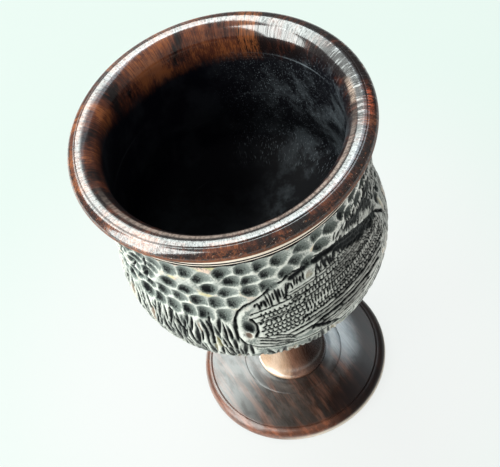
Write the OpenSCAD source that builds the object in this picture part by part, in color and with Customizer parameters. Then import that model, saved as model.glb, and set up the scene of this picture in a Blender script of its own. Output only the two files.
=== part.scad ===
// Turned and carved wooden goblet: a hollow bowl with a rolled lip, a short stem and a flat foot.
// The stem has a round tenon at each end, glued into the bowl's floor and through the foot.
// Millimetres. The origin is the middle of the foot's underside, and +Z is up.

/* [Lip] */
// Diameter at the lip's widest line
lip_d = 84; // [80:0.5:90]
// Diameter of the lip's crest, its highest circle
crest_d = 77; // [74:0.5:79]
// Diameter of the mouth inside the lip
mouth_d = 66.6; // [64:0.2:70]
// Height of the crest above the lip's widest line
crest_rise = 2.7; // [1.5:0.1:4]
// Height of the cove under the lip
cove_h = 3.4; // [2.5:0.1:4]

/* [Bowl] */
// Height of the bowl from its seat on the stem to the lip's widest line
bowl_h = 72.2; // [66:0.2:80]
// Diameter of the bowl's belly, its widest part below the lip
belly_d = 81; // [79:0.2:84]
// Height of the belly above the bowl's seat
belly_z = 26; // [23:0.5:30]
// Diameter of the slight waist above the belly
waist_d = 76.4; // [75:0.2:78]
// Height of the waist above the bowl's seat
waist_z = 44; // [40:0.5:48]
// Diameter of the collar that carries the beads
collar_d = 77.8; // [76:0.2:79]
// Diameter of the flat seat under the bowl
seat_d = 27; // [24:0.5:32]
// Thickness of the wall, measured across the bowl at waist and belly
wall = 2.8; // [2.2:0.1:4]
// Thickness of the bowl's floor at its middle
floor_t = 12; // [10:0.5:15]

/* [Beads under the lip] */
// Height of one bead
bead_h = 0.9; // [0.6:0.1:1.2]
// How far a bead stands out from the collar
bead_proud = 0.4; // [0.2:0.05:0.6]
// Height of the groove under the beads
groove_h = 0.8; // [0.5:0.1:1.2]
// Depth of the groove under the beads
groove_deep = 0.45; // [0.2:0.05:0.7]

/* [Carving] */
// Width of one hollow that the gouge leaves
hollow_w = 6; // [5:0.1:6.4]
// Depth of a hollow
hollow_deep = 1.1; // [0.6:0.05:1.3]
// Turn from one hollow to the next where the rows are even
hollow_turn = 7.3; // [7:0.1:9]

/* [Stem] */
// Height of the stem between the foot and the bowl
stem_h = 51.6; // [44:0.2:60]
// Diameter at the stem's base
stem_base_d = 24.4; // [22:0.2:28]
// Height of the small upright step at the stem's base
stem_step = 0.6; // [0.3:0.1:1.2]
// Height of the flare above that step
flare_h = 9; // [6:0.5:12]
// Diameter at the stem's slimmest part, on top of the flare
stem_slim_d = 17.6; // [16:0.2:20]
// Diameter of the tenons
tenon_d = 12; // [10:0.5:14]
// Length of the tenon in the bowl's floor
tenon_top_h = 7; // [5:0.5:8]
// Gap round a tenon, filled by glue
glue_gap = 0.1; // [0.05:0.01:0.15]
// Room left at the end of a tenon
end_gap = 0.5; // [0.3:0.1:0.8]

/* [Foot] */
// Diameter of the foot
foot_d = 65.2; // [60:0.2:72]
// Height of the foot at the stem
foot_h = 6.4; // [5.6:0.1:8]
// Height of the foot at its rim
rim_h = 4.4; // [3.6:0.1:5]
// Width of the rounded rim, seen from above
rim_w = 2.9; // [2:0.1:4]
// Depth of the fine crease between the rim and the foot's top
crease_deep = 0.3; // [0.1:0.05:0.5]
// Diameter of the raised pad round the stem
pad_d = 34; // [30:0.5:40]
// Height of the small step at the pad's edge
pad_step = 0.4; // [0.2:0.05:0.6]
// Depth of the hollow under the foot
recess_deep = 1.2; // [0.6:0.1:1.6]
// Width of the ring that the foot rests on
land_w = 4.4; // [3:0.1:8]

/* [Hidden] */

$fn = 96;
// Points along a quarter turn of a curve
quarter_steps = 10;
// Points along a long easy curve
sweep_steps = 14;
// Points along each half of the carved side
side_steps = 8;
// Points along a bead, a groove or a small rounding
small_steps = 6;
// Length by which a cut overruns the face that it leaves
overrun = 1;

// Heights above the table
stem_z = foot_h;
bowl_z = stem_z + stem_h;

// Where the rounded lip turns under, as shares of its overhang and of the cove's height
lip_turn_r_share = 0.3;
lip_turn_z_share = 0.34;
// Height of the plain collar between the cove and the first bead, as a share of a bead
collar_share = 1.3;
// Height of the lip's rounded inner shoulder, as a share of the crest's rise
shoulder_share = 2;
// Height of the upright throat inside the lip, as a share of the cove
throat_share = 0.95;
// How much of the wall's thickness the inside gives back between throat and waist
throat_ease_share = 0.15;
// Height of the rim's widest line, as a share of the rim's height
rim_line_share = 0.3;
// How far the rim draws in below that line, as a share of its width
rim_under_share = 0.4;
// Angle at which the rim's rounding stops short of the crease
rim_end_angle = 84;

// Hollows above one figure: the row's height as a share of the bowl's, then each hollow's turn to the right
figure_hollow_shares = [
    [0.881, [45.5]],
    [0.873, [23.4, 37.5]],
    [0.853, [-59, -52, -45, -38.2, -30.7, -15.8, -8.1, -1.4, 6, 16.4, 30, 54.5]],
    [0.820, [-25.6, 41.5, 49]],
    [0.798, [-56, -49, -13.2, 0.6, 13.4, 24.5]],
    [0.778, [-7.3]],
    [0.756, [7.8, 17.2]],
    [0.740, [-60, -52.5, -41.2, -23.4]],
    [0.709, [-34.2, -17.6, -7.5, -0.8]],
    [0.638, [-62, -55, -47.7, -40, -30.5, -23.3, -15.8]],
    [0.558, [-58.5, -52, -44.8, -37.3, -29.8, -21.7]]];
// Turns to the two figures
figure_turns = [0, 180];
// Heights of the even rows between the figures, as shares of the bowl's height
even_row_shares = [0.864, 0.789, 0.715, 0.640, 0.565];
// Turns at which the even rows start and end, beside each figure
even_stretches = [[-91, -62], [62, 88]];

crest_r = crest_d / 2;
lip_r = lip_d / 2;
mouth_r = mouth_d / 2;
collar_r = collar_d / 2;
belly_r = belly_d / 2;
waist_r = waist_d / 2;
seat_r = seat_d / 2;
socket_r = tenon_d / 2 + glue_gap;
bead_r = bead_h / 2;

gouge_r = (hollow_w * hollow_w / 4 + hollow_deep * hollow_deep) / (2 * hollow_deep);
beads_z = bowl_h - cove_h - bead_h * collar_share;
groove_z = beads_z - 2 * bead_h;

// Radius of the bowl's side at a height between its belly and its groove
function side_r(z) = z < waist_z
    ? belly_r + (waist_r - belly_r) * (1 - cos(180 * (z - belly_z) / (waist_z - belly_z))) / 2
    : waist_r + (collar_r - waist_r) * (1 - cos(180 * (z - waist_z) / (groove_z - groove_h - waist_z))) / 2;

// A stretch of an ellipse round (cx, cz), from angle a0 to a1, as points
function bow(cx, cz, rx, rz, a0, a1, steps = quarter_steps) =
    [for (i = [0 : steps]) let (a = a0 + (a1 - a0) * i / steps) [cx + rx * cos(a), cz + rz * sin(a)]];

// An easy S-curve from (r0, z0) to (r1, z1) that is upright at both ends
function ease(r0, z0, r1, z1, steps = sweep_steps) =
    [for (i = [0 : steps]) let (t = i / steps) [r0 + (r1 - r0) * (1 - cos(180 * t)) / 2, z0 + (z1 - z0) * t]];

// The same points read from the last to the first
function reversed(points) = [for (i = [len(points) - 1 : -1 : 0]) points[i]];

// The two beads, as half rounds on the collar, from the upper one's top downwards
function beads(top_z) =
    [for (k = [0, 1]) each bow(collar_r, top_z - bead_r - k * bead_h, bead_proud, bead_r, 90, -90, small_steps)];

// One hollow in the bowl's side, turned so far to the right of the front
module hollow(turn, z) {
    rotate([0, 0, turn]) translate([0, -(side_r(z) + gouge_r - hollow_deep), z]) sphere(r = gouge_r);
}

// The hollows round the bowl's upper half
module hollows() {
    for (figure = figure_turns) {
        for (row = figure_hollow_shares, turn = row[1]) hollow(figure + turn, row[0] * bowl_h);
        for (stretch = even_stretches, i = [0 : len(even_row_shares) - 1])
            for (turn = [stretch[0] + hollow_turn / 2 * (i % 2) : hollow_turn : stretch[1]])
                hollow(figure + turn, even_row_shares[i] * bowl_h);
    }
}

module bowl() {
    cove_z = bowl_h - cove_h;
    turn_r = (lip_r - collar_r) * lip_turn_r_share;
    turn_z = cove_h * lip_turn_z_share;
    shoulder_h = crest_rise * shoulder_share;
    throat_z = bowl_h - cove_h * throat_share;
    inner_belly_r = belly_r - wall;
    inner_waist_r = waist_r - wall;
    outside = concat(
        bow(seat_r, belly_z, belly_r - seat_r, belly_z, -90, 0, 2 * quarter_steps),
        ease(belly_r, belly_z, waist_r, waist_z, side_steps),
        ease(waist_r, waist_z, collar_r, groove_z - groove_h, side_steps),
        bow(collar_r, groove_z - groove_h / 2, -groove_deep, groove_h / 2, -90, 90, small_steps),
        reversed(beads(beads_z)),
        bow(lip_r - turn_r, cove_z, -(lip_r - turn_r - collar_r), cove_h - turn_z, 0, 90),
        bow(lip_r - turn_r, bowl_h, turn_r, turn_z, -90, 0),
        bow(crest_r, bowl_h, lip_r - crest_r, crest_rise, 0, 90));
    inside = concat(
        bow(crest_r, bowl_h + crest_rise - shoulder_h, mouth_r - crest_r, shoulder_h, 90, 0),
        ease(mouth_r, throat_z, inner_waist_r + wall * throat_ease_share, waist_z),
        ease(inner_waist_r + wall * throat_ease_share, waist_z, inner_belly_r, belly_z),
        bow(0, belly_z, inner_belly_r, belly_z - floor_t, 0, -90, 2 * quarter_steps));
    color([0.42, 0.40, 0.36])
    translate([0, 0, bowl_z])
    difference() {
        rotate_extrude() polygon(concat([[0, 0]], outside, inside));
        translate([0, 0, -overrun]) cylinder(r = socket_r, h = overrun + tenon_top_h + end_gap);
        hollows();
    }
}

module stem() {
    base_r = stem_base_d / 2;
    slim_r = stem_slim_d / 2;
    tenon_r = tenon_d / 2;
    flare_z = stem_step + flare_h;
    side = concat(
        [[base_r, 0]],
        bow(base_r, flare_z, slim_r - base_r, flare_h, -90, 0),
        ease(slim_r, flare_z, seat_r, stem_h));
    tenon_foot_h = foot_h - recess_deep - end_gap;
    color([0.36, 0.20, 0.13])
    translate([0, 0, stem_z]) {
        rotate_extrude() polygon(concat([[0, 0]], side, [[0, stem_h]]));
        translate([0, 0, stem_h]) cylinder(r = tenon_r, h = tenon_top_h);
        translate([0, 0, -tenon_foot_h]) cylinder(r = tenon_r, h = tenon_foot_h);
    }
}

module foot() {
    foot_r = foot_d / 2;
    rim_r = foot_r - rim_w;
    line_z = rim_h * rim_line_share;
    under_r = foot_r - rim_w * rim_under_share;
    pad_r = pad_d / 2;
    hub_r = stem_base_d / 2;
    // The foot's top falls evenly from the pad's edge to the rim
    pad_z = rim_h + (foot_h - rim_h) * (foot_r - pad_r) / (foot_r - hub_r);
    color([0.24, 0.13, 0.09])
    difference() {
        rotate_extrude() polygon(concat(
            [[0, 0], [under_r, 0]],
            bow(under_r, line_z, foot_r - under_r, line_z, -90, 0),
            bow(rim_r, line_z, rim_w, rim_h - line_z, 0, rim_end_angle),
            [[rim_r, rim_h - crease_deep], [rim_r - crease_deep, rim_h]],
            bow(pad_r, pad_z - pad_step, pad_step, pad_step, 0, 90, small_steps),
            [[hub_r, foot_h], [0, foot_h]]));
        translate([0, 0, -overrun]) cylinder(r = under_r - land_w, h = overrun + recess_deep);
        translate([0, 0, -overrun]) cylinder(r = socket_r, h = 2 * overrun + foot_h);
    }
}

bowl();
stem();
foot();
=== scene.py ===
"""Looks of a turned and carved hardwood goblet: a carved bowl with a polished lip, a stem and a foot."""

import math
import random
from functools import partialmethod

import bpy
from mathutils import Matrix, Vector


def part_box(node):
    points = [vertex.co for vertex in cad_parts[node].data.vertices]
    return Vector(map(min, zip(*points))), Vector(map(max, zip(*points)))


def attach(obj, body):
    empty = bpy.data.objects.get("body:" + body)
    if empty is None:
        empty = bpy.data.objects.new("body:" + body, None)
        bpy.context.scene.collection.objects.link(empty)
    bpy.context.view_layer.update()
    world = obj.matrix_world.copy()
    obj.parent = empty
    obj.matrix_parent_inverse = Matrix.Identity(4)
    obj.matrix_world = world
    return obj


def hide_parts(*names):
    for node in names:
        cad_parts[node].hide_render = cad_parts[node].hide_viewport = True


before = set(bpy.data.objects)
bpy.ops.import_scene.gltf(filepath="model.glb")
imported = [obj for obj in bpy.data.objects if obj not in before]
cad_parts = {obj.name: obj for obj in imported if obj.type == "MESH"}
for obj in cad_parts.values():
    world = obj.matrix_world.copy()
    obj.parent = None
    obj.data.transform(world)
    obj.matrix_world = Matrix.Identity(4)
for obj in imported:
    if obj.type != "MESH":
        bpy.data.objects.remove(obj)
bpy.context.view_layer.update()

bl_info = {
    "name": "Carved goblet",
    "version": (1, 0, 0),
    "blender": (4, 5, 0),
    "location": "View3D > Sidebar > Goblet",
    "description": "Makes a turned wooden goblet with a hand-carved bowl",
    "category": "Add Mesh",
}

MM = 0.001
BOWL_LOW, BOWL_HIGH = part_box("bowl")
STEM_LOW, STEM_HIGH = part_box("stem")
FOOT_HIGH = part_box("foot")[1]
MERGE_WITHIN = 1e-6
SAME_PLACE = 1e-7
TINY = 1e-9
PROBE = 0.01  # length of the rays that look for cuts behind the drawing
PROFILE_STEP = 1 * MM
SHARP_EDGE = math.radians(35)
STEM_COLUMNS = 128
FOOT_COLUMNS = 192
FLOOR_HALF = 3
SENSOR = 36
NEAREST = 0.01
LAMP_AIM = Vector((0, 0, 0.08))
LAMPS = (  # name, azimuth, elevation, distance, width, height, power, colour, whether it shows in reflections
    ("left_window", -75, 33, 0.60, 0.36, 0.75, 5.6, (0.96, 1.0, 0.97), True),
    ("rear_window", -150, 55, 0.80, 0.74, 0.54, 8.2, (0.92, 1.0, 0.97), True),
    ("front_window", 22, 34, 0.90, 0.60, 0.60, 2.4, (1.0, 0.98, 0.94), False),
    ("side_window", 148, 60, 0.80, 0.44, 0.34, 1.4, (0.80, 0.92, 1.0), True),
)


def length(name, mm, text):
    """A size in metres, given here in millimetres."""
    return bpy.props.FloatProperty(name=name, default=mm * MM, unit="LENGTH", precision=5, description=text)


def colour(name, rgb, text):
    return bpy.props.FloatVectorProperty(
        name=name, default=rgb, size=3, min=0, max=1, subtype="COLOR", description=text)


def angle(name, degrees, text):
    return bpy.props.FloatProperty(
        name=name, default=math.radians(degrees), subtype="ANGLE", unit="ROTATION", description=text)


def count(name, value, text):
    return bpy.props.IntProperty(name=name, default=value, min=1, description=text)


class GobletTurning(bpy.types.PropertyGroup):
    """Sizes that the lathe gives the goblet"""

    crest_r: length("Crest radius", 38.5, "Radius of the lip's highest circle")
    crest_rise: length("Crest rise", 2.7, "Height of the crest above the lip's widest line")
    mouth_r: length("Mouth radius", 33.3, "Inside radius of the lip")
    cove_h: length("Cove height", 3.4, "Height of the cove under the lip")
    nick_r: length("Nick radius", 39.5, "Radius of the fine line turned beside the crest")
    nick_w: length("Nick width", 0.26, "Half width of that line")
    nick_deep: length("Nick depth", 0.06, "Depth of that line")
    belly_r: length("Belly radius", 40.5, "Widest radius of the bowl under the lip")
    belly_z: length("Belly height", 26, "Height of the belly above the bowl's seat")
    waist_r: length("Waist radius", 38.2, "Radius of the slight waist above the belly")
    waist_z: length("Waist height", 44, "Height of the waist above the bowl's seat")
    collar_r: length("Collar radius", 38.9, "Radius of the collar that carries the beads")
    seat_r: length("Seat radius", 13.5, "Radius of the flat seat under the bowl")
    wall: length("Wall", 2.8, "Thickness of the bowl's wall")
    floor_t: length("Floor", 12, "Thickness of the bowl's floor at its middle")
    bead_h: length("Bead height", 0.9, "Height of one bead under the lip")
    bead_proud: length("Bead projection", 0.4, "How far a bead stands out from the collar")
    groove_h: length("Groove height", 0.8, "Height of the groove under the beads")
    groove_deep: length("Groove depth", 0.45, "Depth of the groove under the beads")
    stem_base_r: length("Stem base radius", 12.2, "Radius of the stem where it meets the foot")
    stem_step: length("Stem step", 0.6, "Height of the small step under the stem's flare")
    stem_slim_r: length("Stem slim radius", 8.8, "Radius of the stem's slimmest part")
    flare_h: length("Flare height", 9, "Height of the flare at the stem's base")
    tenon_r: length("Tenon radius", 6, "Radius of the stem's tenons")
    tenon_h: length("Tenon length", 7, "Length of the tenon in the bowl")
    glue_gap: length("Glue gap", 0.1, "Gap round a tenon")
    end_gap: length("End gap", 0.5, "Room left at the end of a tenon")
    rim_h: length("Rim height", 4.4, "Height of the foot at its rim")
    rim_w: length("Rim width", 2.9, "Width of the foot's rounded rim")
    crease: length("Crease", 0.3, "Depth of the crease inside the rim")
    pad_r: length("Pad radius", 17, "Radius of the raised pad round the stem")
    pad_step: length("Pad step", 0.4, "Height of the step at the pad's edge")
    recess: length("Recess", 1.2, "Depth of the hollow under the foot")
    land_w: length("Land width", 4.4, "Width of the ring that the foot rests on")
    cell: length("Cell", 0.25, "Size of the carved surface's finest faces")
    drawing_r: length("Drawing radius", 39.5, "Radius at which the drawing has its true width")
    plain_step: count("Plain step", 4, "Columns of the carved part to each column of the plain part")
    triangles: count("Triangles", 190000, "Most triangles that the bowl may keep")


class GobletFinish(bpy.types.PropertyGroup):
    """Colours of the wood, some of them also laid on as painted light and shade"""

    # This near-black is the lip's stain, and also painted shade in the grooves by the beads, at the stem's
    # right and on the foot
    stain_and_shade: colour("Stain", (0.010, 0.006, 0.006), "Near-black stain on the lip")
    heart: colour("Heartwood", (0.085, 0.025, 0.014), "Red-brown wood of the lip")
    fleck: colour("Flecks", (0.27, 0.085, 0.028), "Orange flecks in the heartwood")
    knot: colour("Knot", (0.55, 0.11, 0.045), "Red patch at the right of the lip")
    # This near-black is stain inside the bowl, deepened as painted shade
    inside: colour("Inside", (0.0015, 0.0015, 0.004), "Stain deep inside the bowl")
    # This pale colour is the rubbed beads, and also painted highlight specks on the lip's outer slope and a
    # painted reflection on the foot's rim
    bead: colour("Beads", (0.88, 0.78, 0.67), "Beads under the lip, rubbed pale")
    worn: colour("Worn edge", (0.54, 0.41, 0.35), "Lip's inner edge, worn pale by use")
    # This colour is polish dried inside the bowl, and also a painted sheen there and on the foot
    dust_and_sheen: colour("Dust", (0.30, 0.35, 0.39), "Polish dried in the pores inside the bowl")
    # This near-black is stain in the cuts, and also painted shade in the groove under the beads
    cut: colour("Cuts", (0.006, 0.007, 0.008), "Stain at the bottom of the cuts")
    patina: colour("Patina", (0.17, 0.195, 0.18), "Grey on the sides of the cuts")
    rubbed: colour("Rubbed crests", (0.64, 0.65, 0.60), "Crests between the cuts, rubbed pale")
    # painted highlight: the crests at the right are shown palest
    highlit_crests: colour("Barest crests", (0.93, 0.92, 0.87), "Crests at the right, rubbed barest")
    bare: colour("Bare wood", (0.74, 0.55, 0.44), "Raw pinkish wood where the stain is gone")
    straw: colour("Straw", (0.62, 0.55, 0.30), "Raw wood of a yellower tone")
    stem_dark: colour("Stem grain", (0.12, 0.05, 0.028), "Dark grain of the stem")
    # painted highlight at the front left of the stem
    stem_highlight: colour("Stem sapwood", (0.68, 0.45, 0.29), "Pale wood at the left of the stem")
    stem_light: colour("Stem", (0.28, 0.13, 0.08), "Light grain of the stem")
    foot_dark: colour("Foot", (0.016, 0.009, 0.007), "Dark wood of the foot")
    foot_light: colour("Foot streaks", (0.11, 0.045, 0.028), "Lighter streaks across the foot")
    foot_rim: colour("Foot rim", (0.24, 0.075, 0.035), "Redder rim of the foot")
    foot_grain: angle("Foot grain", 73, "Turn that brings the foot's grain onto the X axis")


class GobletStudio(bpy.types.PropertyGroup):
    """Where the camera stands and where it looks"""

    lens: length("Lens", 79.2, "Focal length on a sensor 36 mm wide")
    distance: length("Distance", 292.8, "From the middle of the lip to the camera")
    elevation: angle("Elevation", 48.503, "Height of the camera above the lip's plane")
    yaw: angle("Yaw", 0.2297, "Turn of the camera off the lip's middle")
    pitch: angle("Pitch", -5.678, "Tilt of the camera off the lip's middle")
    roll: angle("Roll", 18.192, "Roll of the camera about its line of sight")


GROUPS = {"goblet_turning": GobletTurning, "goblet_finish": GobletFinish, "goblet_studio": GobletStudio}


class Wire:
    """An output socket that plain arithmetic works on, in shader and geometry trees alike."""

    def __init__(self, bench, socket):
        self.bench = bench
        self.socket = socket

    def math(self, operation, *others):
        return self.bench.node("ShaderNodeMath", dict(enumerate((self, *others))), operation=operation).out()

    def rise(self, low, high):
        """0 below low and 1 above high, with an easy slope between."""
        return self.bench.node("ShaderNodeMapRange", {
            "Value": self, "From Min": low, "From Max": high}, interpolation_type="SMOOTHSTEP").out()

    def fall(self, low, high):
        """1 below low and 0 above high, with an easy slope between."""
        return self.rise(high, low)

    def within(self, low, high):
        return self.math("MAXIMUM", low).math("MINIMUM", high)

    def __neg__(self):
        return self.math("MULTIPLY", -1)

    def __rsub__(self, other):
        return self.bench.node("ShaderNodeMath", {0: other, 1: self}, operation="SUBTRACT").out()

    __add__ = __radd__ = partialmethod(math, "ADD")
    __sub__ = partialmethod(math, "SUBTRACT")
    __mul__ = __rmul__ = partialmethod(math, "MULTIPLY")
    __truediv__ = partialmethod(math, "DIVIDE")
    __pow__ = partialmethod(math, "POWER")


class Node:
    """A node, with its outputs as wires."""

    def __init__(self, bench, node):
        self.bench = bench
        self.node = node

    def out(self, name=0):
        return Wire(self.bench, self.node.outputs[name])


class Bench:
    """A node tree that is being filled."""

    def __init__(self, tree):
        self.tree = tree

    def feed(self, socket, value):
        """Gives a socket a wire or a plain value."""
        if isinstance(value, Wire):
            self.tree.links.new(value.socket, socket)
        else:
            socket.default_value = value

    def node(self, kind, inputs=None, **settings):
        """Adds a node, sets it up and feeds its sockets."""
        made = self.tree.nodes.new(kind)
        for name, value in settings.items():
            setattr(made, name, value)
        for name, value in (inputs or {}).items():
            self.feed(made.inputs[name], value)
        return Node(self, made)

    def parts(self, vector):
        """The three numbers of a vector."""
        split = self.node("ShaderNodeSeparateXYZ", {0: vector})
        return [split.out(axis) for axis in "XYZ"]

    def join(self, x, y, z):
        return self.node("ShaderNodeCombineXYZ", {"X": x, "Y": y, "Z": z}).out()

    def noise(self, place, detail, roughness, distortion=0.0):
        return self.node("ShaderNodeTexNoise", {
            "Vector": place, "Scale": 1.0, "Detail": detail, "Roughness": roughness,
            "Distortion": distortion}).out("Fac")

    def mix(self, share, first, second):
        """The first colour, with a share of the second."""
        colours = {0: share}
        for index, value in ((6, first), (7, second)):
            colours[index] = value if isinstance(value, Wire) else (*value, 1)
        return self.node("ShaderNodeMix", colours, data_type="RGBA").out(2)


class Workshop(Bench):
    """A geometry tree with named inputs; sockets maps a name to (type, default)."""

    def __init__(self, name, sockets):
        super().__init__(bpy.data.node_groups.new(name, "GeometryNodeTree"))
        self.tree.is_modifier = True
        new_socket = self.tree.interface.new_socket
        new_socket("Geometry", in_out="INPUT", socket_type="NodeSocketGeometry")
        for label, (kind, default) in sockets.items():
            socket = new_socket(label, in_out="INPUT", socket_type=kind)
            if default is not None:
                socket.default_value = default
        new_socket("Geometry", in_out="OUTPUT", socket_type="NodeSocketGeometry")
        self.given = self.node("NodeGroupInput").out

    def geometry(self, kind, shape, **inputs):
        """What a node makes of a shape."""
        return self.node("GeometryNode" + kind, {"Geometry": shape, **inputs}).out()

    def shape_of(self, label):
        """The mesh of the object that an input names."""
        return self.node("GeometryNodeObjectInfo", {"Object": self.given(label)}).out("Geometry")

    def attribute(self, name, kind="FLOAT"):
        """What each point of the geometry holds under a name."""
        if name == "position":
            return self.node("GeometryNodeInputPosition").out()
        return self.node("GeometryNodeInputNamedAttribute", {"Name": name}, data_type=kind).out("Attribute")

    def store(self, shape, name, value, kind="FLOAT"):
        return self.node("GeometryNodeStoreNamedAttribute", {
            "Geometry": shape, "Name": name, "Value": value}, data_type=kind, domain="POINT").out()

    def blurred(self, name, steps):
        """What the points hold under a name, evened out with their neighbours."""
        return self.node("GeometryNodeBlurAttribute", {
            "Value": self.attribute(name), "Iterations": steps}, data_type="FLOAT").out()

    def grid(self, columns, rows):
        """A flat grid with one column to each step round the axis, and one row to each profile point."""
        return self.node("GeometryNodeMeshGrid", {
            "Size X": 1.0, "Size Y": 1.0, "Vertices X": columns + 1, "Vertices Y": rows}).out("Mesh")

    def read_profile(self):
        """Finds the profile, its number of points, and the place of each point of the grid on it."""
        self.profile = self.shape_of("Profile")
        size = self.node("GeometryNodeAttributeDomainSize", {"Geometry": self.profile}, component="MESH")
        self.rows = size.out("Point Count")
        x, y, unused = self.parts(self.attribute("position"))
        self.row = ((y + 0.5) * (self.rows - 1)).math("ROUND")
        return x

    def from_row(self, name, kind="FLOAT"):
        """What the profile's point of this row holds under a name."""
        value = self.attribute(name, kind)
        return self.node("GeometryNodeSampleIndex", {
            "Geometry": self.profile, "Value": value, "Index": self.row}, data_type=kind).out()

    def spun(self, name, turn):
        """A place or a direction of the profile, turned round the upright axis."""
        r, unused, height = self.parts(self.from_row(name, "FLOAT_VECTOR"))
        return self.join(r * turn.math("SINE"), -(r * turn.math("COSINE")), height)

    def merged(self, shape):
        return self.geometry("MergeByDistance", shape, Distance=MERGE_WITHIN)

    def finish(self, shape, material, selection=True):
        """Closes seams and poles, and ends the tree."""
        shape = self.geometry("RealizeInstances", self.merged(shape))
        shape = self.geometry("SetMaterial", shape, Selection=selection, Material=material)
        self.node("NodeGroupOutput", {"Geometry": shape})
        return self.tree


def turning_tree():
    """Geometry nodes that spin a profile round the upright axis, as a lathe does."""
    bench = Workshop("Turning", {
        "Profile": ("NodeSocketObject", None),
        "Columns": ("NodeSocketInt", 192),
        "Material": ("NodeSocketMaterial", None),
    })
    turn = bench.read_profile() * math.tau
    shape = bench.geometry(
        "SetPosition", bench.grid(bench.given("Columns"), bench.rows), Position=bench.spun("position", turn))
    return bench.finish(shape, bench.given("Material"))


def gouge_cut(bench, spokes, rings, skew):
    """One cut of a gouge: a cup over a unit disc, deeper towards its lower end."""
    x, y, unused = bench.parts(bench.attribute("position"))
    turn = x * math.tau
    reach = y + 0.5
    across = reach * turn.math("SINE")
    along = reach * turn.math("COSINE")
    depth = (reach * reach - 1) * (1 - along * skew)
    grid = bench.grid(spokes, rings + 1)
    return bench.geometry("SetPosition", grid, Position=bench.join(across, along, depth))


def carving_tree():
    """Geometry nodes that turn the bowl and cut every mark of the drawing into its outside."""
    bench = Workshop("Carving", {
        "Profile": ("NodeSocketObject", None),
        "Marks": ("NodeSocketObject", None),
        "Columns": ("NodeSocketInt", 816),
        "Plain step": ("NodeSocketInt", 4),
        "Drawing radius": ("NodeSocketFloat", 0.0395),
        "Gouge skew": ("NodeSocketFloat", 0.8),
        "Broad": ("NodeSocketFloat", 0.0015),
        "Crest spread": ("NodeSocketInt", 5),
        "Polished": ("NodeSocketMaterial", None),
        "Carved": ("NodeSocketMaterial", None),
    })
    given = bench.given
    marks = bench.shape_of("Marks")
    half_width = bench.parts(bench.attribute("reach", "FLOAT_VECTOR"))[0]
    broad = half_width.math("GREATER_THAN", given("Broad"))
    cuts = bench.node("GeometryNodeJoinGeometry")
    for wanted, spokes, rings in ((broad, 32, 8), (1 - broad, 10, 3)):
        placed = bench.node("GeometryNodeInstanceOnPoints", {
            "Points": marks, "Selection": wanted,
            "Instance": gouge_cut(bench, spokes, rings, given("Gouge skew")),
            "Rotation": bench.attribute("turned", "FLOAT_VECTOR"),
            "Scale": bench.attribute("reach", "FLOAT_VECTOR")})
        bench.feed(cuts.node.inputs[0], placed.out())
    cuts = bench.geometry("RealizeInstances", cuts.out())

    # the plain part has fewer columns than the carved one
    x = bench.read_profile()
    columns = given("Columns")
    carved = bench.from_row("carved")
    step = carved + (1 - carved) * given("Plain step")
    column = ((x + 0.5) * columns).math("ROUND")
    column = (column / step).math("ROUND") * step
    turn = (column / columns - 0.5) * math.tau
    ray = bench.node("GeometryNodeRaycast", {
        "Target Geometry": cuts, "Attribute": bench.attribute("raw"),
        "Source Position": bench.join(turn * given("Drawing radius"), bench.from_row("path"), -PROBE),
        "Ray Direction": (0, 0, 1), "Ray Length": PROBE}, data_type="FLOAT")
    hit = ray.out("Is Hit")
    # painted shade: the sides of the cuts that face right and up, away from the light at the left, are
    # darkened
    facing_x, facing_y, facing_z = bench.parts(ray.out("Hit Normal"))
    lee = (facing_x * 0.9 + facing_y * 0.43) / (facing_z + 1 - hit)
    shape = bench.grid(columns, bench.rows)
    for name, value in (
            ("depth", -bench.parts(ray.out("Hit Position"))[2] * hit * carved),
            ("raw", ray.out("Attribute") * hit),
            ("lee", lee.within(-1, 1) * hit * carved),
            ("carved", carved)):
        shape = bench.store(shape, name, value)
    shape = bench.store(shape, "outward", bench.spun("outward", turn), "FLOAT_VECTOR")
    shape = bench.merged(bench.geometry("SetPosition", shape, Position=bench.spun("position", turn)))
    for name, steps in (("raw", 1), ("lee", 2)):
        shape = bench.store(shape, name, bench.blurred(name, steps))
    depth = bench.attribute("depth")
    shape = bench.store(shape, "crest", bench.blurred("depth", given("Crest spread")) - depth)
    inward = bench.node("ShaderNodeVectorMath", {
        0: bench.attribute("outward", "FLOAT_VECTOR"), "Scale": -depth}, operation="SCALE").out()
    shape = bench.geometry("SetPosition", shape, Offset=inward)
    shape = bench.geometry("RemoveAttribute", shape, Name="outward")
    shape = bench.geometry("SetMaterial", shape, Material=given("Polished"))
    return bench.finish(shape, given("Carved"), bench.attribute("carved").math("GREATER_THAN", 0.5))


def plain_mesh(obj, modifier):
    """What the modifier makes of obj, as a mesh of its own; the modifier goes."""
    graph = bpy.context.evaluated_depsgraph_get()
    graph.update()
    mesh = bpy.data.meshes.new_from_object(obj.evaluated_get(graph), depsgraph=graph)
    obj.modifiers.remove(modifier)
    return mesh


def object_of(name, data):
    obj = bpy.data.objects.new(name, data)
    bpy.context.scene.collection.objects.link(obj)
    return obj


def discard(*objects):
    for obj in objects:
        mesh = obj.data
        bpy.data.objects.remove(obj)
        bpy.data.meshes.remove(mesh)


def line_of(name, points, attributes=None):
    """A row of joined points in the plane of a drawing or a profile, with what each point holds."""
    mesh = bpy.data.meshes.new(name)
    mesh.from_pydata(points, [(i, i + 1) for i in range(len(points) - 1)], [])
    for label, values in (attributes or {}).items():
        if isinstance(values[0], tuple):
            held = mesh.attributes.new(label, "FLOAT_VECTOR", "POINT")
            held.data.foreach_set("vector", [number for value in values for number in value])
        else:
            held = mesh.attributes.new(label, "FLOAT", "POINT")
            held.data.foreach_set("value", values)
    return object_of(name, mesh)


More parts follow.
